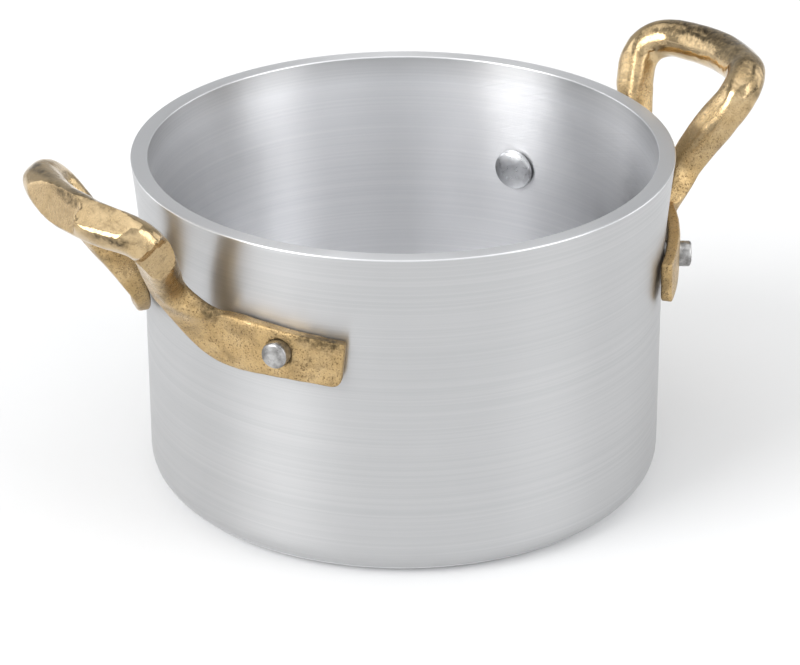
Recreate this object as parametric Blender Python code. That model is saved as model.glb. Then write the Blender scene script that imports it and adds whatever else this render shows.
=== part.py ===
"""Small straight-sided aluminium pot with two cast brass loop handles, each held by two solid rivets.

Frame: metres, +Z up, origin at the centre of the flat base. The right handle points along +X and the
left handle along -X, each a few degrees off that axis because they were riveted on by hand.
"""

import math

import bmesh
import bpy
from mathutils import Matrix, Vector

MM = 0.001

# Pot body: one turned shell, open at the top.
POT_HEIGHT = 60.8 * MM
RIM_RADIUS = 48.0 * MM
WALL_RADIUS = 46.25 * MM
WALL_THICKNESS = 3.0 * MM
FLARE_DEPTH = 24.0 * MM
FLARE_POWER = 1.5
BASE_FILLET = 4.9 * MM
RIM_CHAMFER = 0.3 * MM
POT_STEPS = 96

# Rivets: a shank through foot and wall, a low domed head inside the pot, a flat end outside.
RIVET_DEPTH = 18.9 * MM
SHANK_RADIUS = 2.3 * MM
HOLE_CLEARANCE = 0.3 * MM
HEAD_RADIUS = 3.75 * MM
HEAD_EDGE = 0.4 * MM
HEAD_DOME = 0.9 * MM
HEAD_GAP = 0.45 * MM
STUB_LENGTH = 2.2 * MM
STUB_CHAMFER = 0.35 * MM
RIVET_STEPS = 24

# Handles as fitted by hand. Turn about the pot's axis and tilt about the outward axis move a whole handle.
# The other bends grow from its feet to its grip: skew is a further tilt, twist is about the upright axis,
# reach is outwards and rise is upwards. Angles are in degrees. Each rivet has an angle from the handle's
# middle and a height above the frame's own level.
HANDLES = {
    "right": {
        "turn": -4.0,
        "tilt": 0.3,
        "skew": -2.9,
        "twist": 2.4,
        "reach": -1.7 * MM,
        "rise": 0.5 * MM,
        "rivets": {"front": (-28.3, -1.0 * MM), "back": (33.7, -1.1 * MM)},
    },
    "left": {
        "turn": 183.8,
        "tilt": 1.6,
        "skew": -1.2,
        "twist": -1.6,
        "reach": -0.3 * MM,
        "rise": -0.2 * MM,
        "rivets": {"back": (-30.5, -0.3 * MM), "front": (30.3, 0.1 * MM)},
    },
}

# One half of a handle. u points away from the pot's axis, v along the wall, w up from the foot's middle.
FOOT_END_ANGLE = math.radians(43.3)
FOOT_TURN_ANGLE = math.radians(15.6)
FOOT_GAP = 0.3 * MM
FOOT_END_LIFT = -0.2 * MM
FOOT_TURN_LIFT = 0.3 * MM
FOOT_END_DROP = 1.5 * MM
FOOT_LOWER_ROUND = 1.6 * MM
FOOT_UPPER_ROUND = 0.6 * MM
FOOT_ROUND_STEPS = 4
HEEL_START_PULL = 2.1 * MM
HEEL_END_PULL = 3.1 * MM
LEG_FOOT = Vector((54.4, 9.1, 9.8)) * MM
CORNER = Vector((62.0, 17.7, 23.8)) * MM
CORNER_CUT = 6.9 * MM
CORNER_PULL = 0.6
GRIP_MIDDLE = Vector((67.9, 0.0, 24.6)) * MM
GRIP_START_PULL = 0.4
GRIP_END_PULL = 0.2
GRIP_AIM = 0.45
BEND_START = 2.4 * MM
BEND_FULL = 16.4 * MM
TWIST_AXIS = WALL_RADIUS + 3.5 * MM

# Section at each place along the half: half width, half thickness, squareness, downward tilt of the
# outer face, and how far round from the middle that face looks.
SECTIONS = {
    "foot_end": (4.15 * MM, 1.1 * MM, 6.0, 0.0, FOOT_END_ANGLE),
    "foot_turn": (5.05 * MM, 1.35 * MM, 5.0, 0.0, FOOT_TURN_ANGLE),
    "leg_foot": (2.6 * MM, 2.8 * MM, 3.6, math.radians(18.0), math.radians(8.0)),
    "leg_top": (3.6 * MM, 3.05 * MM, 2.9, math.radians(17.0), math.radians(4.0)),
    "corner": (3.5 * MM, 3.3 * MM, 2.5, math.radians(29.0), math.radians(2.0)),
    "grip": (3.7 * MM, 3.6 * MM, 2.3, math.radians(33.0), 0.0),
}
SECTION_POINTS = 16
HEEL_EASING = 2


def clear_scene():
    for thing in list(bpy.data.objects):
        bpy.data.objects.remove(thing, do_unlink=True)


def make_material(name, colour, roughness):
    """A bare metal finish."""
    material = bpy.data.materials.new(name)
    material.use_nodes = True
    shader = material.node_tree.nodes["Principled BSDF"]
    shader.inputs["Base Color"].default_value = (*colour, 1.0)
    shader.inputs["Metallic"].default_value = 1.0
    shader.inputs["Roughness"].default_value = roughness
    return material


def add_object(name, mesh, material=None, parent=None):
    thing = bpy.data.objects.new(name, mesh)
    bpy.context.scene.collection.objects.link(thing)
    if material:
        thing.data.materials.append(material)
    thing.parent = parent
    return thing


def turned_mesh(name, profile, steps):
    """A closed solid turned about Z from (radius, height) points that start and end on the axis."""
    shape = bmesh.new()
    points = [shape.verts.new((radius, 0.0, height)) for radius, height in profile]
    edges = [shape.edges.new(pair) for pair in zip(points, points[1:])]
    bmesh.ops.spin(
        shape,
        geom=points + edges,
        cent=(0.0, 0.0, 0.0),
        axis=(0.0, 0.0, 1.0),
        angle=math.tau,
        steps=steps,
        use_merge=True,
    )
    bmesh.ops.remove_doubles(shape, verts=shape.verts, dist=0.001 * MM)
    bmesh.ops.recalc_face_normals(shape, faces=shape.faces)
    mesh = bpy.data.meshes.new(name)
    shape.to_mesh(mesh)
    shape.free()
    mesh.shade_smooth()
    mesh.set_sharp_from_angle(angle=math.radians(35.0))
    return mesh


def arc(centre, radius, start, end, count):
    """Points on a circular arc in the profile plane, both ends included."""
    turns = [start + (end - start) * step / (count - 1) for step in range(count)]
    return [(centre[0] + radius * math.cos(turn), centre[1] + radius * math.sin(turn)) for turn in turns]


def outer_radius(depth):
    """Outer wall radius at a depth below the rim: straight below the flare, opening smoothly above it."""
    if depth >= FLARE_DEPTH:
        return WALL_RADIUS
    return WALL_RADIUS + (RIM_RADIUS - WALL_RADIUS) * (1.0 - depth / FLARE_DEPTH) ** FLARE_POWER


def pot_profile():
    """From the middle of the floor, up the inside, over the rim and down the outside to the base."""
    inner_fillet = BASE_FILLET - WALL_THICKNESS / 2.0
    inner_radius = WALL_RADIUS - WALL_THICKNESS
    depths = [FLARE_DEPTH * step / 8.0 for step in range(9)]
    inside_corner = (inner_radius - inner_fillet, WALL_THICKNESS + inner_fillet)
    outside_corner = (WALL_RADIUS - BASE_FILLET, BASE_FILLET)
    inside = [(outer_radius(depth) - WALL_THICKNESS, POT_HEIGHT - depth) for depth in depths]
    outside = [(outer_radius(depth), POT_HEIGHT - depth) for depth in depths]
    profile = [(0.0, WALL_THICKNESS)]
    profile += arc(inside_corner, inner_fillet, -math.pi / 2.0, 0.0, 6)
    profile += reversed(inside[1:])
    profile += [(inside[0][0], POT_HEIGHT - RIM_CHAMFER), (inside[0][0] + RIM_CHAMFER, POT_HEIGHT)]
    profile += [(RIM_RADIUS - RIM_CHAMFER, POT_HEIGHT), (RIM_RADIUS, POT_HEIGHT - RIM_CHAMFER)]
    profile += outside[1:]
    profile += arc(outside_corner, BASE_FILLET, 0.0, -math.pi / 2.0, 6)
    profile += [(0.0, 0.0)]
    return profile


def foot_seat():
    """Radius of the foot's inner face: clear of the flaring wall at the foot's top edge."""
    half_height = SECTIONS["foot_turn"][0]
    return outer_radius(RIVET_DEPTH - half_height) + FOOT_GAP


def rivet_profile():
    """Along the rivet from its outer end to the crown of its head, in distance from the pot's axis."""
    half_thickness = SECTIONS["foot_end"][1]
    wall_inside = WALL_RADIUS - WALL_THICKNESS
    stub_end = foot_seat() + 2.0 * half_thickness + STUB_LENGTH
    head_seat = wall_inside - HEAD_GAP
    dome_base = head_seat - HEAD_EDGE
    profile = [(0.0, stub_end), (SHANK_RADIUS - STUB_CHAMFER, stub_end)]
    profile += [(SHANK_RADIUS, stub_end - STUB_CHAMFER), (SHANK_RADIUS, head_seat)]
    profile += [(HEAD_RADIUS, head_seat)]
    for step in range(5):
        turn = math.pi / 2.0 * step / 5.0
        profile.append((HEAD_RADIUS * math.cos(turn), dome_base - HEAD_DOME * math.sin(turn)))
    profile += [(0.0, dome_base - HEAD_DOME)]
    return profile


def bezier(start, start_pull, end_pull, end, count):
    """Points after the start of a cubic curve, up to and including its end."""
    points = []
    for step in range(1, count + 1):
        t = step / count
        s = 1.0 - t
        points.append(s**3 * start + 3 * s * s * t * start_pull + 3 * s * t * t * end_pull + t**3 * end)
    return points


def corner_inset(distance, radius):
    """How far a rounded corner stands in from its edge, this far along from the end."""
    if distance >= radius:
        return 0.0
    return radius - math.sqrt(radius**2 - (radius - distance) ** 2)


def foot_points(count):
    """The strap's middle line along the wall, from its free end to where it turns outwards."""
    half_thickness = SECTIONS["foot_end"][1]
    length = foot_seat() * (FOOT_END_ANGLE - FOOT_TURN_ANGLE)
    turns = [math.pi / 2.0 * step / FOOT_ROUND_STEPS for step in range(FOOT_ROUND_STEPS)]
    distances = [FOOT_LOWER_ROUND * (1.0 - math.cos(turn)) for turn in turns]
    rest = length - FOOT_LOWER_ROUND
    distances += [FOOT_LOWER_ROUND + rest * step / count for step in range(count + 1)]
    points = []
    for distance in distances:
        t = distance / length
        angle = FOOT_END_ANGLE + (FOOT_TURN_ANGLE - FOOT_END_ANGLE) * t
        lift = FOOT_END_LIFT * (1.0 - t) ** 2 + FOOT_TURN_LIFT * t**2
        radius = foot_seat() + half_thickness + lift
        drop = FOOT_END_DROP * (1.0 - t) ** 2
        points.append(Vector((radius * math.cos(angle), radius * math.sin(angle), -drop)))
    return points


def half_path():
    """The middle line of half a handle, and the place along it where each named section sits."""
    foot = foot_points(8)
    inwards = Vector((math.sin(FOOT_TURN_ANGLE), -math.cos(FOOT_TURN_ANGLE), 0.0))
    leg = (CORNER - LEG_FOOT).normalized()
    leg_top = CORNER - leg * CORNER_CUT
    grip_side = GRIP_MIDDLE + Vector((0.0, CORNER.y * GRIP_AIM, 0.0))
    along_grip = (grip_side - CORNER).normalized()
    grip_end = CORNER + along_grip * CORNER_CUT
    heel = bezier(
        foot[-1], foot[-1] + inwards * HEEL_START_PULL, LEG_FOOT - leg * HEEL_END_PULL, LEG_FOOT, 6
    )
    shin = [LEG_FOOT.lerp(leg_top, 0.5), leg_top]
    corner = bezier(
        leg_top, leg_top.lerp(CORNER, CORNER_PULL), grip_end.lerp(CORNER, CORNER_PULL), grip_end, 6
    )
    grip = bezier(
        grip_end,
        grip_end.lerp(grip_side, GRIP_START_PULL),
        GRIP_MIDDLE + Vector((0.0, CORNER.y * GRIP_END_PULL, 0.0)),
        GRIP_MIDDLE,
        4,
    )
    path = foot + heel + shin + corner + grip
    half_corner = len(corner) // 2
    counts = [len(foot) - 1, len(heel), len(shin), half_corner, len(corner) - half_corner + len(grip)]
    places = [0]
    for count in counts:
        places.append(places[-1] + count)
    return path, places


def smooth_between(low, high, t):
    ease = t * t * (3.0 - 2.0 * t)
    return low + (high - low) * ease


def half_sections(path, places):
    """A section for each point of the path, eased between the named ones by distance along it."""
    along = [0.0]
    for here, there in zip(path, path[1:]):
        along.append(along[-1] + (there - here).length)
    named = list(SECTIONS.values())
    sections = []
    for index, distance in enumerate(along):
        stretch = max(k for k in range(len(places) - 1) if places[k] <= index)
        start, end = along[places[stretch]], along[places[stretch + 1]]
        t = (distance - start) / (end - start)
        section = [smooth_between(a, b, t) for a, b in zip(named[stretch], named[stretch + 1])]
        lower = corner_inset(distance, FOOT_LOWER_ROUND)
        upper = corner_inset(distance, FOOT_UPPER_ROUND)
        section[0] -= (lower + upper) / 2.0
        sections.append([*section, (lower - upper) / 2.0])
    return sections


def bent(point, fitted):
    """The point moved by its share of the bends that the handle was given when it was fitted."""
    share = min(max((point.z - BEND_START) / (BEND_FULL - BEND_START), 0.0), 1.0)
    point = point + Vector((fitted["reach"], 0.0, fitted["rise"])) * share
    for axis, angle, pivot in (
        ("Z", fitted["twist"], Vector((TWIST_AXIS, 0.0, 0.0))),
        ("X", fitted["skew"], Vector((0.0, 0.0, BEND_START))),
    ):
        point = Matrix.Rotation(math.radians(angle) * share, 3, axis) @ (point - pivot) + pivot
    return point


def eased(rings, first, last):
    """Moves the rings from first to last towards their neighbours, which takes folds out of a tight bend."""
    for _ in range(HEEL_EASING):
        before, here, after = rings[first - 1 : last - 1], rings[first:last], rings[first + 1 : last + 1]
        for index, triple in enumerate(zip(before, here, after)):
            rings[first + index] = [(a + 2.0 * b + c) / 4.0 for a, b, c in zip(*triple)]


def handle_rings():
    """Rings of points round the whole handle, from one foot over the grip to the other, before it is bent."""
    path, places = half_path()
    stations = []
    for centre, section in zip(path, half_sections(path, places)):
        width, thickness, squareness, tilt, around, shift = section
        face = Vector((math.cos(tilt) * math.cos(around), math.cos(tilt) * math.sin(around), -math.sin(tilt)))
        stations.append((centre, width, thickness, squareness, shift, face))
    mirror = Vector((1.0, -1.0, 1.0))
    for centre, width, thickness, squareness, shift, face in reversed(stations[:-1]):
        stations.append((centre * mirror, width, thickness, squareness, shift, face * mirror))
    rings = []
    for index, (centre, width, thickness, squareness, shift, face) in enumerate(stations):
        before = stations[max(index - 1, 0)][0]
        after = stations[min(index + 1, len(stations) - 1)][0]
        forwards = (after - before).normalized()
        outwards = (face - forwards * face.dot(forwards)).normalized()
        across = forwards.cross(outwards)
        upwards = across if across.z > 0.0 else -across
        ring = []
        for step in range(SECTION_POINTS):
            turn = math.tau * (step + 0.5) / SECTION_POINTS
            side, out = math.cos(turn), math.sin(turn)
            power = 2.0 / squareness
            side = math.copysign(abs(side) ** power, side) * width
            out = math.copysign(abs(out) ** power, out) * thickness
            ring.append(centre + across * side + outwards * out + upwards * shift)
        rings.append(ring)
    first, last = places[1] - 1, places[2] + 2
    eased(rings, first, last)
    eased(rings, len(rings) - last, len(rings) - first)
    return rings


def handle_mesh(name, fitted):
    """The skin over a handle's rings, bent as that handle was when it was fitted."""
    shape = bmesh.new()
    rings = [[shape.verts.new(bent(point, fitted)) for point in ring] for ring in handle_rings()]
    for ring, following in zip(rings, rings[1:]):
        for step in range(SECTION_POINTS):
            ahead = (step + 1) % SECTION_POINTS
            shape.faces.new((ring[step], ring[ahead], following[ahead], following[step]))
    shape.faces.new(reversed(rings[0]))
    shape.faces.new(rings[-1])
    bmesh.ops.recalc_face_normals(shape, faces=shape.faces)
    mesh = bpy.data.meshes.new(name)
    shape.to_mesh(mesh)
    shape.free()
    mesh.shade_smooth()
    mesh.set_sharp_from_angle(angle=math.radians(35.0))
    return mesh


def add_cut(thing, cutter):
    cut = thing.modifiers.new(f"hole_{cutter.name}", "BOOLEAN")
    cut.operation = "DIFFERENCE"
    cut.solver = "EXACT"
    cut.object = cutter


def hole_profile():
    radius = SHANK_RADIUS + HOLE_CLEARANCE
    inner = WALL_RADIUS - 2.0 * WALL_THICKNESS
    outer = WALL_RADIUS + 3.0 * WALL_THICKNESS
    return [(0.0, outer), (radius, outer), (radius, inner), (0.0, inner)]


def point_outwards(thing, angle, height):
    """Puts a rivet or a cutter in the handle's frame with its own Z axis running outwards at this angle."""
    thing.location = (0.0, 0.0, height)
    thing.rotation_euler = (0.0, math.pi / 2.0, angle)


def build():
    clear_scene()
    aluminium = make_material("aluminium", (0.80, 0.80, 0.81), 0.38)
    brass = make_material("brass", (0.72, 0.55, 0.31), 0.36)
    rivet_metal = make_material("rivet", (0.62, 0.63, 0.65), 0.32)
    pot = add_object("pot_body", turned_mesh("pot_body", pot_profile(), POT_STEPS), aluminium)
    shared_rivet = turned_mesh("rivet", rivet_profile(), RIVET_STEPS)
    shared_hole = turned_mesh("rivet_hole", hole_profile(), RIVET_STEPS)
    shared_rivet.materials.append(rivet_metal)
    for side, fitted in HANDLES.items():
        frame = add_object(f"{side}_handle_frame", None)
        frame.location = (0.0, 0.0, POT_HEIGHT - RIVET_DEPTH)
        frame.rotation_euler = (math.radians(fitted["tilt"]), 0.0, math.radians(fitted["turn"]))
        mesh = handle_mesh(f"{side}_handle", fitted)
        handle = add_object(f"{side}_handle", mesh, brass, frame)
        for place, (angle, height) in fitted["rivets"].items():
            rivet = add_object(f"{side}_{place}_rivet", shared_rivet, parent=frame)
            cutter = add_object(f"{side}_{place}_hole", shared_hole, parent=frame)
            cutter.hide_render = True
            cutter.display_type = "WIRE"
            point_outwards(rivet, math.radians(angle), height)
            point_outwards(cutter, math.radians(angle), height)
            add_cut(pot, cutter)
            add_cut(handle, cutter)


build()
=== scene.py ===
"""Looks for the small aluminium pot: fine meshes and metal finishes for its body, handles and rivets."""

import math

import bmesh
import bpy
from mathutils import Matrix, Vector, noise


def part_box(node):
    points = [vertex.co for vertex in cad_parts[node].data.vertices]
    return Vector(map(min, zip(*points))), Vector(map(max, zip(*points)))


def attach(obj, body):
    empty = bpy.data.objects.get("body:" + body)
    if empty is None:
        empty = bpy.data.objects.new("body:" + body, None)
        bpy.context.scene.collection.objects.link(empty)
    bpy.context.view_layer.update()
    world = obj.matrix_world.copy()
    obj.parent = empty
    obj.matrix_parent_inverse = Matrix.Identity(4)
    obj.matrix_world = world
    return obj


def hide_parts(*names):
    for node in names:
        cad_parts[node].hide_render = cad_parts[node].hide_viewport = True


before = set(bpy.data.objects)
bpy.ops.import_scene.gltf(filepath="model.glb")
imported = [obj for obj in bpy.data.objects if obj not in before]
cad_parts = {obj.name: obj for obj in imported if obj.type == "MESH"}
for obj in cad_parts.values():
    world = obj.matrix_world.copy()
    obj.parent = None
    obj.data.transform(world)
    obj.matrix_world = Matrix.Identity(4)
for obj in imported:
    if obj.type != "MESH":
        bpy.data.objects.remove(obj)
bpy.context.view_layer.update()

MM = 0.001
TURNED_SHARP_ANGLE = math.radians(35.0)
CAST_SHARP_ANGLE = math.radians(30.0)

# Camera, placed from the pot's axis: a long lens, well back, looking down into the pot.
CAMERA_TURN = math.radians(-30.95)
CAMERA_REACH = 0.5302
CAMERA_HEIGHT = 0.2805
CAMERA_DOWN = math.radians(25.76)
CAMERA_PAN = math.radians(0.07)
CAMERA_ROLL = math.radians(-0.18)
CAMERA_LENS = 146.2
SENSOR_WIDTH = 36.0

# Pot body. The rim's size and the height come from the frame.
_, POT_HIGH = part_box("pot_body")
POT_HEIGHT = POT_HIGH.z
RIM_RADIUS = POT_HIGH.y
FLARE = 1.75 * MM
WALL_RADIUS = RIM_RADIUS - FLARE
WALL_THICKNESS = 3.0 * MM
FLARE_DEPTH = 24.0 * MM
FLARE_POWER = 1.5
BASE_FILLET = 4.9 * MM
RIM_OUTER_ROUND = 0.25 * MM
RIM_INNER_ROUND = 0.25 * MM
POT_STEPS = 320
FLARE_STEPS = 20
FLOOR_STEPS = 12
INNER_FILLET_STEPS = 12
OUTER_FILLET_STEPS = 14
WALL_STEPS = 10
EDGE_STEPS = 6

# Rivets. The dents are those that the hammer left on the flat end, and the far weaker ones on the head. The
# shift gives each rivet dents of its own.
RIVET_DEPTH = 18.9 * MM
SHANK_RADIUS = 2.3 * MM
HOLE_CLEARANCE = 0.06 * MM
HEAD_RADIUS = 3.75 * MM
HEAD_EDGE = 0.4 * MM
HEAD_DOME = 0.9 * MM
HEAD_GAP = 0.45 * MM
STUB_LENGTH = 2.2 * MM
STUB_ROUND = 0.5 * MM
STUB_DENT = 0.16 * MM
STUB_DENT_DEPTH = 0.6 * MM
HEAD_DENT = 0.03 * MM
HEAD_DENT_DEPTH = 1.5 * MM
DENT_SCALE = 900.0
DENT_SHIFT = Vector((1.7, 0.9, 0.4))
RIVET_STEPS = 64
STUB_FACE_STEPS = 8
SHANK_LENGTH_STEPS = 14
HEAD_STEPS = 12

# Handles as fitted by hand: the turn about the pot's axis and the tilt about the outward axis of a whole
# handle, and the bends that grow from its feet to its grip. Each rivet has an angle and a height. Angles are
# in degrees.
HANDLES = {
    "right": {
        "turn": -4.0,
        "tilt": 0.3,
        "skew": -2.9,
        "twist": 2.4,
        "reach": -1.7 * MM,
        "rise": 0.5 * MM,
        "rivets": {"front": (-28.3, -1.0 * MM), "back": (33.7, -1.1 * MM)},
    },
    "left": {
        "turn": 183.8,
        "tilt": 1.6,
        "skew": -1.2,
        "twist": -1.6,
        "reach": -0.3 * MM,
        "rise": -0.2 * MM,
        "rivets": {"back": (-30.5, -0.3 * MM), "front": (30.3, 0.1 * MM)},
    },
}
FOOT_END_ANGLE = math.radians(43.3)
FOOT_TURN_ANGLE = math.radians(15.6)
FOOT_GAP = 0.3 * MM
FOOT_END_LIFT = -0.2 * MM
FOOT_TURN_LIFT = 0.3 * MM
FOOT_END_DROP = 1.5 * MM
FOOT_LOWER_ROUND = 1.6 * MM
FOOT_UPPER_ROUND = 0.6 * MM
FOOT_ROUND_STEPS = 12
FOOT_EDGE_ROUND = 0.8 * MM
HEEL_START_PULL = 2.1 * MM
HEEL_END_PULL = 3.1 * MM
LEG_FOOT = Vector((54.4, 9.1, 9.8)) * MM
CORNER = Vector((62.0, 17.7, 23.8)) * MM
CORNER_CUT = 6.9 * MM
CORNER_PULL = 0.6
GRIP_MIDDLE = Vector((67.9, 0.0, 24.6)) * MM
GRIP_START_PULL = 0.4
GRIP_END_PULL = 0.2
GRIP_AIM = 0.45
BEND_START = 2.4 * MM
BEND_FULL = 16.4 * MM
TWIST_AXIS = WALL_RADIUS + 3.5 * MM

# Section at each place along half a handle: half width, half thickness, squareness of the outer and the
# inner side, downward tilt of the outer face, how far round that face looks, and how polished it is.
SECTIONS = {
    "foot_end": (4.15 * MM, 1.1 * MM, 9.0, 7.0, 0.0, FOOT_END_ANGLE, 0.0),
    "foot_turn": (5.05 * MM, 1.35 * MM, 5.5, 5.0, 0.0, FOOT_TURN_ANGLE, 0.1),
    "leg_foot": (2.6 * MM, 2.8 * MM, 4.2, 3.2, math.radians(18.0), math.radians(8.0), 0.2),
    "leg_top": (3.6 * MM, 3.05 * MM, 3.2, 2.5, math.radians(17.0), math.radians(4.0), 0.6),
    "corner": (3.5 * MM, 3.3 * MM, 2.8, 2.2, math.radians(29.0), math.radians(2.0), 0.9),
    "grip": (3.7 * MM, 3.6 * MM, 2.3, 2.1, math.radians(33.0), 0.0, 1.0),
}

# Where those two stand in a row of the table.
HALF_WIDTH = 0
HALF_THICKNESS = 1

# Points round each ring, and rings along each part of half a handle.
SECTION_POINTS = 56
PATH_SHARES = {"foot": 44, "heel": 30, "shin": 12, "corner": 36, "grip": 22}

# Folds are eased out of the heel, from a little before it to a little after it, and out of the grip.
HEEL_EASING = 45
HEEL_LEAD_IN = 8
HEEL_RUN_OUT = 10
CORNER_EASING = 6

# Lumps of the sand casting: coarse and fine ones, flattened where the casting was ground. The shift gives
# each handle lumps of its own.
CAST_LUMPS = 0.22 * MM
LUMP_SCALE = 330.0
FINE_LUMP_SCALE = LUMP_SCALE * 3.1
COARSE_SHARE = 0.35
FINE_SHARE = 0.15
GROUND_FLATTENING = 0.8
LUMP_SHIFT = Vector((0.37, 0.11, 0.53))

# Flats ground on the casting: the point inside that each is measured from, the way it faces, how far from
# that point it lies, how far over the skin it reaches, and how matt the grinding left it. Lengths are in
# millimetres. The right handle has no clear flats.
FACET_EDGE = 0.12 * MM
FACET_FADE = 1.2 * MM
FACETS = {
    "right": [],
    "left": [
        ((67.2, -4.5, 24.5), (0.93, 0.10, 0.32), 2.90, 12.0, 1.0),
        ((66.0, 8.0, 24.4), (0.50, 0.28, 0.80), 3.00, 9.5, 0.0),
        ((64.6, 13.0, 24.0), (0.75, 0.40, 0.52), 3.20, 6.5, 0.0),
        ((64.4, 13.5, 23.6), (0.86, 0.42, -0.30), 3.10, 7.0, 0.4),
        ((59.0, 13.5, 18.1), (0.25, 0.93, 0.20), 2.85, 5.0, 1.0),
    ],
}

# Painted shade and painted reflections on the castings: dark bands where the brass would reflect the dark
# studio, and painted shadow along the feet and in a leg's crease. For each, the line that it follows and how
# far it reaches, in millimetres, and how dark it is.
PAINTED_SHADE_AND_REFLECTIONS = {
    "right": [
        ((68.0, -4.0, 28.6), (68.0, 9.0, 28.2), 6.5, 0.85),
        ((66.0, -9.5, 28.2), (64.0, -17.5, 24.0), 4.2, 0.6),
        ((60.0, -13.0, 20.5), (57.5, -11.0, 16.0), 2.4, 0.6),
    ],
    "left": [
        ((48.8, 14.5, 6.2), (49.6, 17.6, 4.8), 2.8, 1.0),
        ((50.2, 17.5, 3.6), (49.4, 20.0, 2.2), 2.2, 0.8),
        ((39.8, 29.8, 4.2), (37.0, 32.4, 3.6), 3.2, 1.0),
        ((67.0, -13.0, 27.4), (68.6, 5.0, 27.2), 1.3, 0.9),
        ((69.0, 9.4, 24.4), (66.3, 17.0, 23.4), 1.3, 1.0),
        ((67.0, 3.0, 28.0), (64.8, 11.0, 27.6), 1.8, 0.6),
        ((58.0, 15.0, 12.5), (56.5, 13.0, 10.0), 2.4, 0.4),
    ],
}

# Studio: a sheet of paper, softboxes and a tent. Places are to the camera's right, away from it and up.
PAPER_WHITE = (0.82, 0.82, 0.82)
PAPER_ROUGHNESS = 0.9
PAPER_SHEEN = 0.1
FLOOR_REACH = 4.0
FLOOR_SIDES = 96
LIGHT_TARGET = Vector((0.0, 0.0, 0.03))

# Each softbox has a place, a width and a height, in metres, and a power in watts.
SOFTBOXES = {
    "left_softbox": ((-1.68, -1.12, 1.2), 1.3, 1.8, 34.0),
    "top_softbox": ((0.0, 0.3, 2.1), 3.4, 2.8, 26.0),
    "right_softbox": ((1.9, -0.9, 1.0), 1.4, 1.6, 14.0),
    "left_edge_softbox": ((-1.9, 0.75, 0.55), 1.2, 1.2, 6.0),
    "right_edge_softbox": ((1.9, 0.75, 0.55), 1.2, 1.2, 5.0),
}

# The tent's walls fade out with height, and its roof grows brighter towards the way that BRIGHT_SKY points.
# Each step has the two values that it runs between, and the strength of the light at each.
TENT_WHITE = (0.97, 0.985, 1.0)
BRIGHT_SKY = (0.0, -0.6, 0.8)
TENT_WALL_STEP = (0.45, 0.75, 0.55, 0.06)
TENT_ROOF_STEP = (0.1, 0.95, 0.0, 0.65)

# Colours of the metals, and how far the turning lines draw out a reflection.
# Painted light and shade: the first aluminium pair is a lit copy, for the inside and the top of the rim, and
# the second a shaded copy, for the outside.
ALUMINIUM_PAINTED_LIGHT = ((0.80, 0.805, 0.82), (0.86, 0.86, 0.87))
ALUMINIUM_PAINTED_SHADE = ((0.505, 0.51, 0.515), (0.555, 0.555, 0.56))
ALUMINIUM_DRAW = 0.75
QUARTER_TURN = 0.25
RIVET_HEAD_GREY = ((0.54, 0.545, 0.56), (0.70, 0.705, 0.715))
RIVET_STUB_GREY = ((0.20, 0.195, 0.19), (0.50, 0.495, 0.49))
BRASS_PATCHES = ((0.49, 0.34, 0.16), (0.61, 0.435, 0.22))
# Partly buffed metal and partly a painted sheen: paler and greyer, as if the brass reflected white.
BRASS_BUFFED_AND_SHEEN = (0.62, 0.475, 0.285)
BRASS_STREAK = (0.22, 0.155, 0.08)
BRASS_GRAIN = (0.24, 0.16, 0.075)
BRASS_GROUND = (0.33, 0.235, 0.13)
BRASS_RUBBED = (0.25, 0.18, 0.10)
# Painted shade and painted dark reflections, laid where the marks are.
BRASS_PAINTED_SHADE = (0.075, 0.055, 0.03)
BRASS_PIT = (0.13, 0.085, 0.04)

# Noise of the finishes: cycles to the metre, the same each way or one for each axis, then detail, roughness
# and, for some, distortion. The polishing strokes turn by their slant, in radians, for each metre of height.
TURNING_FINE = ((40.0, 40.0, 9000.0), 2.0, 0.6)
TURNING_BROAD = ((9.0, 9.0, 2600.0), 3.0, 0.6)
POLISHING = ((900.0, 900.0, 60.0), 2.0, 0.6)
POLISHING_SLANT = 70.0
SMUDGES = (55.0, 4.0, 0.6)
RIVET_DENTS = (1300.0, 3.0, 0.6)
RIVET_STAINS = (500.0, 3.0, 0.6)
BRASS_NOISE = {
    "patches": (260.0, 3.0, 0.55),
    "grain": (3600.0, 4.0, 0.65),
    "speckle": (3100.0, 2.0, 0.5),
    "crowd": (330.0, 3.0, 0.6),
    "hatch": ((700.0, 5200.0, 900.0), 3.0, 0.6),
    "dapple": (620.0, 2.0, 0.5, 0.6),
    "streaks": ((420.0, 170.0, 420.0), 4.0, 0.62, 0.4),
    "ragged": (1100.0, 4.0, 0.6),
}

# The limits of a Map Range node, in the order that they are given here.
RANGE_INPUTS = ("From Min", "From Max", "To Min", "To Max")


# ---------------------------------------------------------------- shapes


def arc(centre, radius, start, end, count):
    """Points on a circular arc in the profile plane, both ends included."""
    turns = [start + (end - start) * step / (count - 1) for step in range(count)]
    return [(centre[0] + radius * math.cos(turn), centre[1] + radius * math.sin(turn)) for turn in turns]


def run(start, end, count):
    """Evenly spaced points after start, up to but not including end."""
    return [
        (start[0] + (end[0] - start[0]) * step / count, start[1] + (end[1] - start[1]) * step / count)
        for step in range(1, count)
    ]


def mesh_from(shape, name, sharp_angle=TURNED_SHARP_ANGLE):
    """A smooth mesh of the shape, with its edges kept sharp above an angle."""
    bmesh.ops.recalc_face_normals(shape, faces=shape.faces)
    mesh = bpy.data.meshes.new(name)
    shape.to_mesh(mesh)
    shape.free()
    mesh.shade_smooth()
    mesh.set_sharp_from_angle(angle=sharp_angle)
    return mesh


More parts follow.
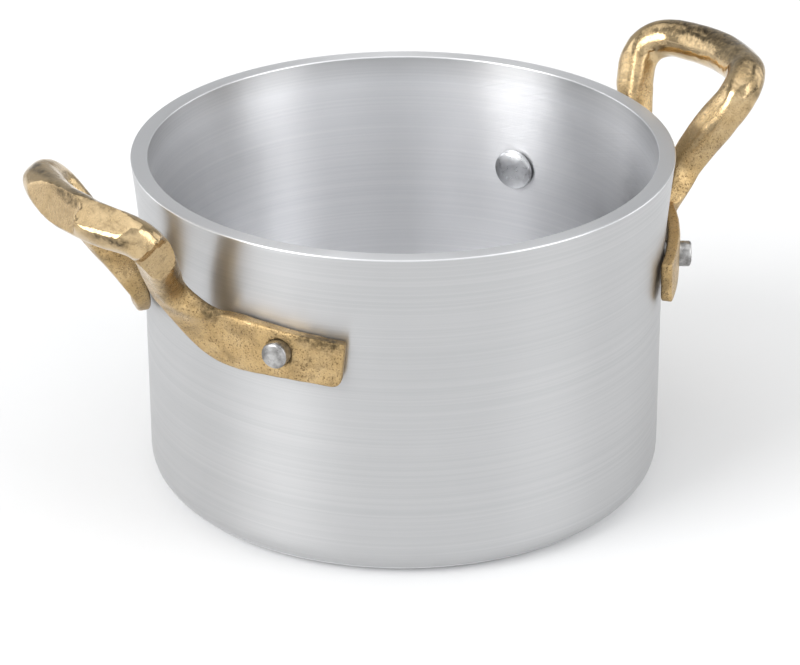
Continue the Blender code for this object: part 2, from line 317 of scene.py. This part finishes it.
def turned_mesh(name, profile, steps):
    """A closed solid turned about Z from (radius, height) points that start and end on the axis."""
    shape = bmesh.new()
    rings = []
    for radius, height in profile[1:-1]:
        ring = []
        for step in range(steps):
            turn = math.tau * step / steps
            ring.append(shape.verts.new((radius * math.cos(turn), radius * math.sin(turn), height)))
        rings.append(ring)
    for ring, following in zip(rings, rings[1:]):
        for step in range(steps):
            ahead = (step + 1) % steps
            shape.faces.new((ring[step], ring[ahead], following[ahead], following[step]))
    for (_, height), ring in ((profile[0], rings[0]), (profile[-1], rings[-1])):
        middle = shape.verts.new((0.0, 0.0, height))
        for step in range(steps):
            shape.faces.new((middle, ring[step], ring[(step + 1) % steps]))
    return mesh_from(shape, name)


def outer_radius(depth):
    """Radius of the pot's outside at a depth below the rim."""
    if depth >= FLARE_DEPTH:
        return WALL_RADIUS
    return WALL_RADIUS + FLARE * (1.0 - depth / FLARE_DEPTH) ** FLARE_POWER


def pot_profile():
    """From the middle of the floor, up the inside, over the rim and down the outside to the base."""
    inner_fillet = BASE_FILLET - WALL_THICKNESS / 2.0
    inner_radius = WALL_RADIUS - WALL_THICKNESS
    inside_corner = (inner_radius - inner_fillet, WALL_THICKNESS + inner_fillet)
    outside_corner = (WALL_RADIUS - BASE_FILLET, BASE_FILLET)
    depths = [FLARE_DEPTH * step / FLARE_STEPS for step in range(1, FLARE_STEPS + 1)]
    inside = [(outer_radius(depth) - WALL_THICKNESS, POT_HEIGHT - depth) for depth in depths]
    outside = [(outer_radius(depth), POT_HEIGHT - depth) for depth in depths]
    rim_inside = RIM_RADIUS - WALL_THICKNESS
    inner_edge = (rim_inside + RIM_INNER_ROUND, POT_HEIGHT - RIM_INNER_ROUND)
    outer_edge = (RIM_RADIUS - RIM_OUTER_ROUND, POT_HEIGHT - RIM_OUTER_ROUND)
    profile = [(0.0, WALL_THICKNESS)]
    profile += run((0.0, WALL_THICKNESS), (inside_corner[0], WALL_THICKNESS), FLOOR_STEPS)
    profile += arc(inside_corner, inner_fillet, -math.pi / 2.0, 0.0, INNER_FILLET_STEPS)
    profile += run((inner_radius, inside_corner[1]), inside[-1], WALL_STEPS)
    profile += reversed(inside)
    profile += arc(inner_edge, RIM_INNER_ROUND, math.pi, math.pi / 2.0, EDGE_STEPS)
    profile += arc(outer_edge, RIM_OUTER_ROUND, math.pi / 2.0, 0.0, EDGE_STEPS)
    profile += outside
    profile += run(outside[-1], (WALL_RADIUS, BASE_FILLET), WALL_STEPS)
    profile += arc(outside_corner, BASE_FILLET, 0.0, -math.pi / 2.0, OUTER_FILLET_STEPS)
    profile += run((outside_corner[0], 0.0), (0.0, 0.0), WALL_STEPS)
    profile += [(0.0, 0.0)]
    return profile


def foot_seat():
    """Radius of the foot's inner face: clear of the flaring wall at the foot's top edge."""
    half_height = SECTIONS["foot_turn"][HALF_WIDTH]
    return outer_radius(RIVET_DEPTH - half_height) + FOOT_GAP


def rivet_profile():
    """Along the rivet from its outer end to the crown of its head, in distance from the pot's axis."""
    stub_end = foot_seat() + 2.0 * SECTIONS["foot_end"][HALF_THICKNESS] + STUB_LENGTH
    head_seat = WALL_RADIUS - WALL_THICKNESS - HEAD_GAP
    dome_base = head_seat - HEAD_EDGE
    flat_radius = SHANK_RADIUS - STUB_ROUND
    profile = [(0.0, stub_end)]
    profile += run((0.0, stub_end), (flat_radius, stub_end), STUB_FACE_STEPS)
    edge = arc((flat_radius, stub_end - STUB_ROUND), STUB_ROUND, math.pi / 2.0, 0.0, EDGE_STEPS)
    profile += edge
    profile += run(edge[-1], (SHANK_RADIUS, head_seat), SHANK_LENGTH_STEPS)
    profile += [(SHANK_RADIUS, head_seat), (HEAD_RADIUS, head_seat)]
    for step in range(HEAD_STEPS):
        turn = math.pi / 2.0 * step / HEAD_STEPS
        profile.append((HEAD_RADIUS * math.cos(turn), dome_base - HEAD_DOME * math.sin(turn)))
    profile += [(0.0, dome_base - HEAD_DOME)]
    return profile


def hole_profile():
    """Along a rivet hole, through the handle's foot and the pot's wall."""
    radius = SHANK_RADIUS + HOLE_CLEARANCE
    inner = WALL_RADIUS - 2.0 * WALL_THICKNESS
    outer = WALL_RADIUS + 3.0 * WALL_THICKNESS
    return [(0.0, outer), (radius, outer), (radius, inner), (0.0, inner)]


def bezier(start, start_pull, end_pull, end, count):
    """Points after the start of a cubic curve, up to and including its end."""
    points = []
    for step in range(1, count + 1):
        t = step / count
        s = 1.0 - t
        points.append(s**3 * start + 3 * s * s * t * start_pull + 3 * s * t * t * end_pull + t**3 * end)
    return points


def corner_inset(distance, radius):
    """How far a rounded corner stands in from its edge, this far along from the end."""
    if distance >= radius:
        return 0.0
    return radius - math.sqrt(radius**2 - (radius - distance) ** 2)


def foot_points(count):
    """The strap's middle line along the wall, from its free end to where it turns outwards."""
    half_thickness = SECTIONS["foot_end"][HALF_THICKNESS]
    length = foot_seat() * (FOOT_END_ANGLE - FOOT_TURN_ANGLE)
    turns = [math.pi / 2.0 * step / FOOT_ROUND_STEPS for step in range(FOOT_ROUND_STEPS)]
    distances = [FOOT_LOWER_ROUND * (1.0 - math.cos(turn)) for turn in turns]
    rest = length - FOOT_LOWER_ROUND
    distances += [FOOT_LOWER_ROUND + rest * step / count for step in range(count + 1)]
    points = []
    for distance in distances:
        t = distance / length
        angle = FOOT_END_ANGLE + (FOOT_TURN_ANGLE - FOOT_END_ANGLE) * t
        lift = FOOT_END_LIFT * (1.0 - t) ** 2 + FOOT_TURN_LIFT * t**2
        radius = foot_seat() + half_thickness + lift
        drop = FOOT_END_DROP * (1.0 - t) ** 2
        points.append(Vector((radius * math.cos(angle), radius * math.sin(angle), -drop)))
    return points


def half_path():
    """The middle line of half a handle, and the place along it where each named section sits."""
    foot = foot_points(PATH_SHARES["foot"])
    inwards = Vector((math.sin(FOOT_TURN_ANGLE), -math.cos(FOOT_TURN_ANGLE), 0.0))
    leg = (CORNER - LEG_FOOT).normalized()
    leg_top = CORNER - leg * CORNER_CUT
    grip_side = GRIP_MIDDLE + Vector((0.0, CORNER.y * GRIP_AIM, 0.0))
    along_grip = (grip_side - CORNER).normalized()
    grip_end = CORNER + along_grip * CORNER_CUT
    heel = bezier(
        foot[-1],
        foot[-1] + inwards * HEEL_START_PULL,
        LEG_FOOT - leg * HEEL_END_PULL,
        LEG_FOOT,
        PATH_SHARES["heel"],
    )
    shin_count = PATH_SHARES["shin"]
    shin = [LEG_FOOT.lerp(leg_top, step / shin_count) for step in range(1, shin_count + 1)]
    corner = bezier(
        leg_top,
        leg_top.lerp(CORNER, CORNER_PULL),
        grip_end.lerp(CORNER, CORNER_PULL),
        grip_end,
        PATH_SHARES["corner"],
    )
    grip = bezier(
        grip_end,
        grip_end.lerp(grip_side, GRIP_START_PULL),
        GRIP_MIDDLE + Vector((0.0, CORNER.y * GRIP_END_PULL, 0.0)),
        GRIP_MIDDLE,
        PATH_SHARES["grip"],
    )
    path = foot + heel + shin + corner + grip
    half_corner = len(corner) // 2
    counts = [len(foot) - 1, len(heel), len(shin), half_corner, len(corner) - half_corner + len(grip)]
    places = [0]
    for count in counts:
        places.append(places[-1] + count)
    return path, places


def smooth_between(low, high, t):
    """From low to high as t goes from 0 to 1, level at both ends."""
    ease = t * t * (3.0 - 2.0 * t)
    return low + (high - low) * ease


def half_sections(path, places):
    """A section for each point of the path, eased between the named ones by distance along it."""
    along = [0.0]
    for here, there in zip(path, path[1:]):
        along.append(along[-1] + (there - here).length)
    named = list(SECTIONS.values())
    sections = []
    for index, distance in enumerate(along):
        stretch = max(k for k in range(len(places) - 1) if places[k] <= index)
        start, end = along[places[stretch]], along[places[stretch + 1]]
        t = (distance - start) / (end - start)
        section = [smooth_between(a, b, t) for a, b in zip(named[stretch], named[stretch + 1])]
        lower = corner_inset(distance, FOOT_LOWER_ROUND)
        upper = corner_inset(distance, FOOT_UPPER_ROUND)
        section[HALF_WIDTH] -= (lower + upper) / 2.0
        section[HALF_THICKNESS] -= corner_inset(distance, FOOT_EDGE_ROUND)
        sections.append([*section, (lower - upper) / 2.0])
    return sections


def eased(rings, first, last, rounds):
    """Moves the rings from first to last towards their neighbours, which takes folds out of a tight bend."""
    for _ in range(rounds):
        before, here, after = rings[first - 1 : last - 1], rings[first:last], rings[first + 1 : last + 1]
        for index, triple in enumerate(zip(before, here, after)):
            rings[first + index] = [(a + 2.0 * b + c) / 4.0 for a, b, c in zip(*triple)]


def bent(point, fitted):
    """The point moved by its share of the bends that the handle was given when it was fitted."""
    share = min(max((point.z - BEND_START) / (BEND_FULL - BEND_START), 0.0), 1.0)
    point = point + Vector((fitted["reach"], 0.0, fitted["rise"])) * share
    for axis, angle, pivot in (
        ("Z", fitted["twist"], Vector((TWIST_AXIS, 0.0, 0.0))),
        ("X", fitted["skew"], Vector((0.0, 0.0, BEND_START))),
    ):
        point = Matrix.Rotation(math.radians(angle) * share, 3, axis) @ (point - pivot) + pivot
    return point


def ground_flat(point, facets):
    """The point pushed back onto each facet that it stands proud of, how flat that left it and how matt."""
    flatness = 0.0
    ground = 0.0
    for start, direction, distance, reach, matt in facets:
        facing = Vector(direction).normalized()
        place = Vector(start) * MM + facing * distance * MM
        proud = (point - place).dot(facing)
        share = min(1.0, (reach * MM - (point - place).length) / FACET_FADE)
        if proud > 0.0 and share > 0.0:
            point = point - facing * proud * share
            flatness = max(flatness, share * min(1.0, proud / FACET_EDGE))
            ground = max(ground, matt * share * min(1.0, proud / FACET_EDGE))
    return point, flatness, ground


def painted_shade_at(point, marks):
    """How dark the painted shade and painted reflections make the skin at a point, from 0 to 1."""
    most = 0.0
    for start, end, reach, strength in marks:
        start, end = Vector(start) * MM, Vector(end) * MM
        along = (point - start).dot(end - start) / (end - start).length_squared
        nearest = start.lerp(end, min(1.0, max(0.0, along)))
        nearness = 1.0 - (point - nearest).length / (reach * MM)
        most = max(most, strength * min(1.0, 2.0 * max(0.0, nearness)))
    return most


def handle_rings():
    """Rings of points round the whole handle before it is bent, foot to foot, and how polished each is."""
    path, places = half_path()
    stations = []
    for centre, section in zip(path, half_sections(path, places)):
        width, thickness, outer_square, inner_square, tilt, around, polish, shift = section
        face = Vector((math.cos(tilt) * math.cos(around), math.cos(tilt) * math.sin(around), -math.sin(tilt)))
        stations.append((centre, width, thickness, outer_square, inner_square, polish, shift, face))
    mirror = Vector((1.0, -1.0, 1.0))
    for centre, *section, face in reversed(stations[:-1]):
        stations.append((centre * mirror, *section, face * mirror))
    rings = []
    polishes = []
    for index, station in enumerate(stations):
        centre, width, thickness, outer_square, inner_square, polish, shift, face = station
        polishes.append(polish)
        before = stations[max(index - 1, 0)][0]
        after = stations[min(index + 1, len(stations) - 1)][0]
        forwards = (after - before).normalized()
        outwards = (face - forwards * face.dot(forwards)).normalized()
        across = forwards.cross(outwards)
        upwards = across if across.z > 0.0 else -across
        ring = []
        for step in range(SECTION_POINTS):
            turn = math.tau * (step + 0.5) / SECTION_POINTS
            side, out = math.cos(turn), math.sin(turn)
            power = 2.0 / (outer_square if out > 0.0 else inner_square)
            side = math.copysign(abs(side) ** power, side) * width
            out = math.copysign(abs(out) ** power, out) * thickness
            ring.append(centre + across * side + outwards * out + upwards * shift)
        rings.append(ring)
    first, last = places[1] - HEEL_LEAD_IN, places[2] + HEEL_RUN_OUT
    eased(rings, first, last, HEEL_EASING)
    eased(rings, len(rings) - last, len(rings) - first, HEEL_EASING)
    eased(rings, last, len(rings) - last, CORNER_EASING)
    return rings, polishes


def handle_mesh(name, side, seed):
    """A cast handle with its ground facets and lumps, bent as it was when it was fitted."""
    rings, polishes = handle_rings()
    fitted = HANDLES[side]
    shift = LUMP_SHIFT * seed
    shape = bmesh.new()
    skin = []
    grounds = []
    painted_shade_values = []
    for ring in rings:
        middle = sum(ring, Vector()) / len(ring)
        verts = []
        for point in ring:
            inwards = (middle - point).normalized()
            point, flatness, ground = ground_flat(point, FACETS[side])
            coarse = noise.noise(point * LUMP_SCALE + shift)
            fine = noise.noise(point * FINE_LUMP_SCALE + shift)
            lump = CAST_LUMPS * (0.5 + COARSE_SHARE * coarse + FINE_SHARE * fine)
            lump *= 1.0 - GROUND_FLATTENING * flatness
            verts.append(shape.verts.new(bent(point + inwards * lump, fitted)))
            grounds.append(ground)
            # How dark each point is painted by the painted shade and reflections.
            painted_shade_values.append(painted_shade_at(point, PAINTED_SHADE_AND_REFLECTIONS[side]))
        skin.append(verts)
    for ring, following in zip(skin, skin[1:]):
        for step in range(SECTION_POINTS):
            ahead = (step + 1) % SECTION_POINTS
            shape.faces.new((ring[step], ring[ahead], following[ahead], following[step]))
    shape.faces.new(reversed(skin[0]))
    shape.faces.new(skin[-1])
    mesh = mesh_from(shape, name, CAST_SHARP_ANGLE)
    ring_polishes = [share for share in polishes for _ in range(SECTION_POINTS)]
    for surface, values in (("polish", ring_polishes), ("ground", grounds), ("dark", painted_shade_values)):
        mesh.attributes.new(surface, "FLOAT", "POINT").data.foreach_set("value", values)
    return mesh


def hammer_rivet(mesh, seed):
    """Dents the flat outer end and the low dome of a rivet a little, so that neither is perfect."""
    shift = DENT_SHIFT * seed
    top = max(vertex.co.z for vertex in mesh.vertices)
    bottom = min(vertex.co.z for vertex in mesh.vertices)
    for vertex in mesh.vertices:
        dent = noise.noise(vertex.co * DENT_SCALE + shift)
        near_end = max(0.0, 1.0 - (top - vertex.co.z) / STUB_DENT_DEPTH)
        near_head = max(0.0, 1.0 - (vertex.co.z - bottom) / HEAD_DENT_DEPTH)
        vertex.co.z += dent * HEAD_DENT * near_head - abs(dent) * STUB_DENT * near_end


def add_object(name, mesh, material=None):
    """An object in the scene that shows the mesh."""
    thing = bpy.data.objects.new(name, mesh)
    bpy.context.scene.collection.objects.link(thing)
    if material:
        thing.data.materials.append(material)
    return thing


def cut_holes(thing, cutters):
    """Cuts each cutter out of the piece and keeps the cut mesh."""
    for cutter in cutters:
        cut = thing.modifiers.new("hole", "BOOLEAN")
        cut.operation = "DIFFERENCE"
        cut.solver = "EXACT"
        cut.object = cutter
    bpy.context.view_layer.update()
    graph = bpy.context.evaluated_depsgraph_get()
    mesh = bpy.data.meshes.new_from_object(thing.evaluated_get(graph))
    thing.modifiers.clear()
    thing.data = mesh


# ---------------------------------------------------------------- materials


class Nodes:
    """Small helper that adds and links the shader nodes of one material."""

    def __init__(self, name):
        self.material = bpy.data.materials.new(name)
        self.material.use_nodes = True
        self.tree = self.material.node_tree
        self.shader = self.tree.nodes["Principled BSDF"]

    def add(self, kind, **settings):
        node = self.tree.nodes.new(kind)
        for key, value in settings.items():
            setattr(node, key, value)
        return node

    def link(self, source, target):
        self.tree.links.new(source, target)

    def place(self):
        """Object coordinates in metres."""
        return self.add("ShaderNodeTexCoord").outputs["Object"]

    def attribute(self, name):
        """A value that the mesh carries at each of its points."""
        return self.add("ShaderNodeAttribute", attribute_name=name).outputs["Fac"]

    def scaled(self, vector, scale):
        """The vector stretched along each axis."""
        node = self.add("ShaderNodeVectorMath", operation="MULTIPLY")
        self.link(vector, node.inputs[0])
        node.inputs[1].default_value = scale
        return node.outputs["Vector"]

    def radius(self, place):
        """Distance from the pot's axis."""
        node = self.add("ShaderNodeVectorMath", operation="LENGTH")
        self.link(self.scaled(place, (1.0, 1.0, 0.0)), node.inputs[0])
        return node.outputs["Value"]

    def math(self, operation, first, second=0.0, clamp=False):
        """A sum, product or the like of two values, each a number or a socket."""
        node = self.add("ShaderNodeMath", operation=operation, use_clamp=clamp)
        for socket, value in zip(node.inputs, (first, second)):
            if isinstance(value, (int, float)):
                socket.default_value = value
            else:
                self.link(value, socket)
        return node.outputs["Value"]

    def times(self, first, second):
        return self.math("MULTIPLY", first, second)

    def plus(self, first, second):
        return self.math("ADD", first, second)

    def noise(self, vector, scale, detail, roughness, distortion=0.0):
        """Noise of one scale, or stretched by a scale for each axis."""
        if isinstance(scale, tuple):
            vector = self.scaled(vector, scale)
            scale = 1.0
        node = self.add("ShaderNodeTexNoise")
        self.link(vector, node.inputs["Vector"])
        node.inputs["Scale"].default_value = scale
        node.inputs["Detail"].default_value = detail
        node.inputs["Roughness"].default_value = roughness
        node.inputs["Distortion"].default_value = distortion
        return node.outputs["Fac"]

    def remap(self, value, low, high, new_low=0.0, new_high=1.0):
        """The value carried from one range to another, and held inside it."""
        node = self.add("ShaderNodeMapRange")
        self.link(value, node.inputs["Value"])
        for name, number in zip(RANGE_INPUTS, (low, high, new_low, new_high)):
            node.inputs[name].default_value = number
        return node.outputs["Result"]

    def mix(self, share, first, second):
        """A colour that goes from the first to the second as the share goes from 0 to 1."""
        node = self.add("ShaderNodeMix", data_type="RGBA")
        self.link(share, node.inputs["Factor"])
        for socket, colour in zip((node.inputs["A"], node.inputs["B"]), (first, second)):
            if isinstance(colour, tuple):
                socket.default_value = (*colour, 1.0)
            else:
                self.link(colour, socket)
        return node.outputs["Result"]

    def bump(self, height, distance, strength, after=None):
        """The skin tilted by a pattern of heights, on top of the pattern that came before."""
        node = self.add("ShaderNodeBump")
        self.link(height, node.inputs["Height"])
        node.inputs["Distance"].default_value = distance
        node.inputs["Strength"].default_value = strength
        if after:
            self.link(after, node.inputs["Normal"])
        return node.outputs["Normal"]

    def metal(self, colour, roughness, normal):
        """The finished metal, with its colour, roughness and skin."""
        self.link(colour, self.shader.inputs["Base Color"])
        self.link(roughness, self.shader.inputs["Roughness"])
        self.link(normal, self.shader.inputs["Normal"])
        self.shader.inputs["Metallic"].default_value = 1.0
        return self.material


def turned_aluminium():
    """Pale aluminium with fine lines round the pot's axis, crossed inside by slanting polishing strokes."""
    n = Nodes("turned_aluminium")
    place = n.place()
    fine = n.noise(place, *TURNING_FINE)
    broad = n.noise(place, *TURNING_BROAD)
    separate = n.add("ShaderNodeSeparateXYZ")
    n.link(place, separate.inputs[0])
    height = separate.outputs["Z"]
    slanted = n.add("ShaderNodeVectorRotate", rotation_type="Z_AXIS")
    n.link(place, slanted.inputs["Vector"])
    n.link(n.times(height, POLISHING_SLANT), slanted.inputs["Angle"])
    strokes = n.noise(slanted.outputs["Vector"], *POLISHING)
    smudge = n.noise(place, *SMUDGES)

    # Painted light and shade: the wall's colour is darkened outside with painted shade, and brightened inside
    # and on the top of the rim with painted light.
    band = n.remap(broad, 0.3, 0.7)
    wall_middle = WALL_RADIUS - WALL_THICKNESS / 2.0
    outside = n.remap(n.radius(place), wall_middle - MM / 4.0, wall_middle + MM / 4.0)
    below_rim = n.remap(height, POT_HEIGHT - 0.3 * MM, POT_HEIGHT - 0.1 * MM, 1.0, 0.0)
    bright = n.mix(band, *ALUMINIUM_PAINTED_LIGHT)
    shaded_colour = n.mix(band, *ALUMINIUM_PAINTED_SHADE)
    colour = n.mix(n.times(outside, below_rim), bright, shaded_colour)

    rough = n.plus(n.remap(fine, 0.2, 0.8, 0.29, 0.39), n.remap(smudge, 0.3, 0.7, -0.03, 0.04))
    rough = n.plus(rough, n.times(outside, 0.05))
    inside_strokes = n.times(strokes, n.math("SUBTRACT", 1.1, outside))
    lines = n.bump(fine, distance=0.004 * MM, strength=0.5)
    lines = n.bump(broad, distance=0.01 * MM, strength=0.4, after=lines)
    lines = n.bump(inside_strokes, distance=0.025 * MM, strength=0.8, after=lines)

    # The turning lines draw each reflection out across them.
    tangent = n.add("ShaderNodeTangent", direction_type="RADIAL", axis="Z")
    n.link(tangent.outputs["Tangent"], n.shader.inputs["Tangent"])
    n.shader.inputs["Anisotropic"].default_value = ALUMINIUM_DRAW
    n.shader.inputs["Anisotropic Rotation"].default_value = QUARTER_TURN
    return n.metal(colour, rough, lines)


def cast_brass():
    """Sand-cast brass: pitted as cast, brushed where it was ground, shiny and uneven where it was buffed."""
    n = Nodes("cast_brass")
    place = n.place()
    pattern = {name: n.noise(place, *settings) for name, settings in BRASS_NOISE.items()}
    patch = n.remap(pattern["patches"], 0.3, 0.7)
    ground = n.attribute("ground")
    wander = n.remap(pattern["patches"], 0.3, 0.7, -0.3, 0.3)
    buffed = n.math("ADD", n.attribute("polish"), wander, clamp=True)
    cast = n.math("SUBTRACT", 1.0, buffed)

    # Pits come in crowds, and are mostly gone where the casting was buffed.
    crowd = n.remap(pattern["crowd"], 0.35, 0.65, 0.0, 0.07)
    pits = n.remap(n.plus(pattern["speckle"], crowd), 0.61, 0.69)
    pits = n.times(pits, n.plus(n.times(cast, 0.8), 0.1))

    # Colours, each laid over the one before.
    streaked = n.remap(pattern["streaks"], 0.50, 0.66, 0.0, 0.5)
    grainy = n.times(n.remap(pattern["grain"], 0.5, 0.66, 0.0, 0.45), cast)
    rubbed = n.times(n.remap(pattern["hatch"], 0.52, 0.68), n.times(ground, 0.55))
    # Painted shade and painted reflections from the marks, with ragged edges.
    painted_shade = n.times(n.attribute("dark"), n.remap(pattern["ragged"], 0.36, 0.62, 0.25, 0.95))
    tone = n.mix(patch, *BRASS_PATCHES)
    for share, colour in (
        # Partly a painted sheen: the buffed parts are paler and greyer, as if they reflected white.
        (n.times(buffed, 0.7), BRASS_BUFFED_AND_SHEEN),
        (streaked, BRASS_STREAK),
        (grainy, BRASS_GRAIN),
        (n.times(ground, 0.4), BRASS_GROUND),
        (rubbed, BRASS_RUBBED),
        # Painted shade and painted dark reflections.
        (painted_shade, BRASS_PAINTED_SHADE),
        (n.times(pits, 0.8), BRASS_PIT),
    ):
        tone = n.mix(share, tone, colour)

    rough = n.plus(n.remap(buffed, 0.0, 1.0, 0.36, 0.10), n.remap(pattern["grain"], 0.3, 0.7, -0.04, 0.05))
    rough = n.plus(rough, n.times(ground, 0.14))
    cast_grain = n.times(pattern["grain"], n.plus(cast, 0.04))
    ground_hatch = n.times(pattern["hatch"], n.plus(ground, 0.05))
    skin = n.bump(pattern["dapple"], distance=0.05 * MM, strength=0.8)
    skin = n.bump(cast_grain, distance=0.10 * MM, strength=1.0, after=skin)
    skin = n.bump(n.times(pits, -1.0), distance=0.06 * MM, strength=0.9, after=skin)
    skin = n.bump(ground_hatch, distance=0.045 * MM, strength=0.9, after=skin)
    return n.metal(tone, rough, skin)


def rivet_metal():
    """Grey aluminium, dark and stained on the hammered end, paler on the head inside the pot."""
    n = Nodes("rivet_metal")
    place = n.place()
    dents = n.noise(place, *RIVET_DENTS)
    stains = n.noise(place, *RIVET_STAINS)
    outside = n.remap(n.radius(place), WALL_RADIUS - WALL_THICKNESS, WALL_RADIUS)
    head = n.mix(n.remap(stains, 0.3, 0.7), *RIVET_HEAD_GREY)
    stub = n.mix(n.remap(stains, 0.35, 0.62), *RIVET_STUB_GREY)
    rough = n.remap(dents, 0.3, 0.7, 0.24, 0.42)
    return n.metal(n.mix(outside, head, stub), rough, n.bump(dents, distance=0.05 * MM, strength=0.6))


# ---------------------------------------------------------------- pieces


def finish_piece(thing, nodes):
    """Hides the nodes of the frame that the piece stands for, and sets what the piece rides on."""
    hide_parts(*nodes)
    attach(thing, "root")


def make_pot():
    """Makes every piece of the pot, with holes cut where the rivets pass."""
    aluminium = turned_aluminium()
    brass = cast_brass()
    grey_metal = rivet_metal()
    pot = add_object("pot_shell", turned_mesh("pot_shell", pot_profile(), POT_STEPS), aluminium)
    hole = turned_mesh("rivet_hole", hole_profile(), RIVET_STEPS)
    cutters = []
    for number, (side, fitted) in enumerate(HANDLES.items()):
        middle = Matrix.Translation((0.0, 0.0, POT_HEIGHT - RIVET_DEPTH))
        turn = Matrix.Rotation(math.radians(fitted["turn"]), 4, "Z")
        tilt = Matrix.Rotation(math.radians(fitted["tilt"]), 4, "X")
        placed = middle @ turn @ tilt
        handle_shape = handle_mesh(f"{side}_cast_handle", side, number + 1)
        handle = add_object(f"{side}_cast_handle", handle_shape, brass)
        handle.data.transform(placed)
        handle_cutters = []
        for place, (angle, height) in fitted["rivets"].items():
            outwards = Matrix.Translation((0.0, 0.0, height)) @ Matrix.Rotation(math.radians(angle), 4, "Z")
            outwards = outwards @ Matrix.Rotation(math.pi / 2.0, 4, "Y")
            rivet_shape = turned_mesh(f"{side}_{place}_hammered_rivet", rivet_profile(), RIVET_STEPS)
            hammer_rivet(rivet_shape, number * 2 + len(handle_cutters) + 1)
            rivet_shape.transform(placed @ outwards)
            rivet = add_object(f"{side}_{place}_hammered_rivet", rivet_shape, grey_metal)
            finish_piece(rivet, [f"{side}_{place}_rivet"])
            cutter = add_object("hole_cutter", hole.copy())
            cutter.data.transform(placed @ outwards)
            handle_cutters.append(cutter)
        cut_holes(handle, handle_cutters)
        finish_piece(handle, [f"{side}_handle"])
        cutters += handle_cutters
    cut_holes(pot, cutters)
    finish_piece(pot, ["pot_body"])
    for cutter in cutters:
        bpy.data.objects.remove(cutter)


# ---------------------------------------------------------------- camera, floor and light


def studio_point(right, away, up):
    """A point given as the camera sees the pot: to its right, away behind it, and up."""
    return Matrix.Rotation(CAMERA_TURN, 4, "Z") @ Vector((right, away, up))


def make_camera():
    """A long lens, well back from the pot and turned a little off it."""
    camera = bpy.data.cameras.new("camera")
    camera.lens = CAMERA_LENS
    camera.sensor_width = SENSOR_WIDTH
    thing = bpy.data.objects.new("camera", camera)
    bpy.context.scene.collection.objects.link(thing)
    place = Matrix.Translation(studio_point(0.0, -CAMERA_REACH, CAMERA_HEIGHT))
    turn = Matrix.Rotation(CAMERA_TURN + CAMERA_PAN, 4, "Z")
    down = Matrix.Rotation(math.pi / 2.0 - CAMERA_DOWN, 4, "X")
    roll = Matrix.Rotation(CAMERA_ROLL, 4, "Z")
    thing.matrix_world = place @ turn @ down @ roll
    bpy.context.scene.camera = thing


def make_floor():
    """A wide sheet of matt white paper under the pot."""
    shape = bmesh.new()
    bmesh.ops.create_circle(shape, cap_ends=True, segments=FLOOR_SIDES, radius=FLOOR_REACH)
    n = Nodes("floor_paper")
    n.shader.inputs["Base Color"].default_value = (*PAPER_WHITE, 1.0)
    n.shader.inputs["Roughness"].default_value = PAPER_ROUGHNESS
    n.shader.inputs["Specular IOR Level"].default_value = PAPER_SHEEN
    floor = add_object("floor", mesh_from(shape, "floor"), n.material)


def add_softbox(name, place, target, width, height, power):
    """A lit rectangle at a place in the studio, facing the target."""
    light = bpy.data.lights.new(name, "AREA")
    light.shape = "RECTANGLE"
    light.size = width
    light.size_y = height
    light.energy = power
    thing = bpy.data.objects.new(name, light)
    bpy.context.scene.collection.objects.link(thing)
    thing.location = place
    thing.rotation_mode = "QUATERNION"
    thing.rotation_quaternion = (target - place).to_track_quat("-Z", "Y")


def sky_step(tree, value, limits):
    """A soft step: its limits are the two values that it runs between and the strength at each."""
    step = tree.nodes.new("ShaderNodeMapRange")
    step.interpolation_type = "SMOOTHSTEP"
    for name, number in zip(RANGE_INPUTS, limits):
        step.inputs[name].default_value = number
    tree.links.new(value, step.inputs["Value"])
    return step.outputs["Result"]


def make_light():
    """A white tent round the pot: bright above the camera, pale low down all round, dark high up behind."""
    for name, (place, width, height, power) in SOFTBOXES.items():
        add_softbox(name, studio_point(*place), LIGHT_TARGET, width, height, power)
    world = bpy.data.worlds.new("studio")
    world.use_nodes = True
    tree = world.node_tree
    background = tree.nodes["Background"]
    coordinates = tree.nodes.new("ShaderNodeTexCoord")
    separate = tree.nodes.new("ShaderNodeSeparateXYZ")
    spread = tree.nodes.new("ShaderNodeVectorMath")
    spread.operation = "DOT_PRODUCT"
    spread.inputs[1].default_value = studio_point(*BRIGHT_SKY)
    total = tree.nodes.new("ShaderNodeMath")
    tree.links.new(coordinates.outputs["Generated"], separate.inputs[0])
    tree.links.new(coordinates.outputs["Generated"], spread.inputs[0])
    band = sky_step(tree, separate.outputs["Z"], TENT_WALL_STEP)
    above = sky_step(tree, spread.outputs["Value"], TENT_ROOF_STEP)
    tree.links.new(band, total.inputs[0])
    tree.links.new(above, total.inputs[1])
    tree.links.new(total.outputs["Value"], background.inputs["Strength"])
    background.inputs["Color"].default_value = (*TENT_WHITE, 1.0)
    bpy.context.scene.world = world
    bpy.context.scene.view_settings.view_transform = "Standard"
    bpy.context.scene.view_settings.look = "None"


make_camera()
make_floor()
make_light()
make_pot()
